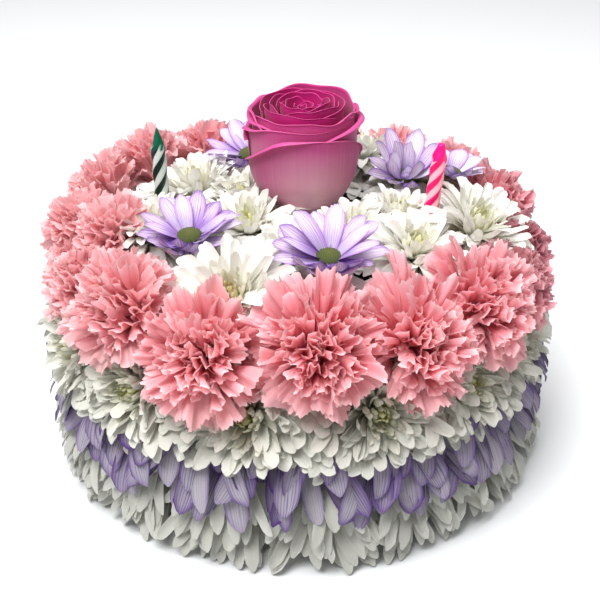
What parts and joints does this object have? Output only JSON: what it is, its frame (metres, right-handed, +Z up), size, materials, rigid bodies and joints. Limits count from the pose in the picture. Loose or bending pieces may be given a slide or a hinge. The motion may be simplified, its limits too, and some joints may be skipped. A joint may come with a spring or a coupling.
{
  "type": "fresh flower cake with candles",
  "caption": "Floral arrangement shaped like a round layered birthday cake, with rows of flower heads round the side and rim, and a rose and twisted candles on top.",
  "frame": {"origin": "centre of the underside, on the surface that the cake stands on", "axes": "+Z up; -Y towards the front that the picture shows"},
  "size_m": [0.2625, 0.2607, 0.1705],
  "materials": {
    "foam": "matte open-cell foam, dark green and wet",
    "white_petal": "soft matte ivory petals, yellow-green towards the middle",
    "pink_petal": "soft matte ruffled petals, pale at the edges and coral in the folds",
    "lavender_petal": "soft matte petals with fine violet veins and dark tips",
    "rose_petal": "smooth velvety petals, magenta inside and dusty pink outside",
    "green_wax": "glossy wax with dark green and pale spiral stripes",
    "pink_wax": "glossy wax with hot pink and pale pink spiral stripes"
  },
  "bodies": {
    "root": {"foam_core": "foam", "lower_mum_row": "white_petal", "lavender_daisy_row": "lavender_petal", "upper_mum_01": "white_petal", "upper_mum_02": "white_petal", "upper_mum_03": "white_petal", "upper_mum_04": "white_petal", "upper_mum_05": "white_petal", "upper_mum_06": "white_petal", "upper_mum_07": "white_petal", "upper_mum_08": "white_petal", "upper_mum_09": "white_petal", "upper_mum_10": "white_petal", "upper_mum_11": "white_petal", "upper_mum_12": "white_petal", "upper_mum_13": "white_petal", "upper_mum_14": "white_petal", "carnation_01": "pink_petal", "carnation_02": "pink_petal", "carnation_03": "pink_petal", "carnation_04": "pink_petal", "carnation_05": "pink_petal", "carnation_06": "pink_petal", "carnation_07": "pink_petal", "carnation_08": "pink_petal", "carnation_09": "pink_petal", "carnation_10": "pink_petal", "carnation_11": "pink_petal", "carnation_12": "pink_petal", "carnation_13": "pink_petal", "carnation_14": "pink_petal", "carnation_15": "pink_petal", "carnation_16": "pink_petal", "carnation_17": "pink_petal", "carnation_18": "pink_petal", "carnation_19": "pink_petal", "top_mum_01": "white_petal", "top_mum_02": "white_petal", "top_mum_03": "white_petal", "top_mum_04": "white_petal", "top_mum_05": "white_petal", "top_mum_06": "white_petal", "top_mum_07": "white_petal", "top_mum_08": "white_petal", "top_mum_09": "white_petal", "top_mum_10": "white_petal", "top_mum_11": "white_petal", "top_mum_12": "white_petal", "top_mum_13": "white_petal", "top_daisy_01": "lavender_petal", "top_daisy_02": "lavender_petal", "top_daisy_03": "lavender_petal", "top_daisy_04": "lavender_petal", "top_daisy_05": "lavender_petal", "rose": "rose_petal", "green_candle": "green_wax", "pink_candle": "pink_wax"}
  },
  "joints": []
}
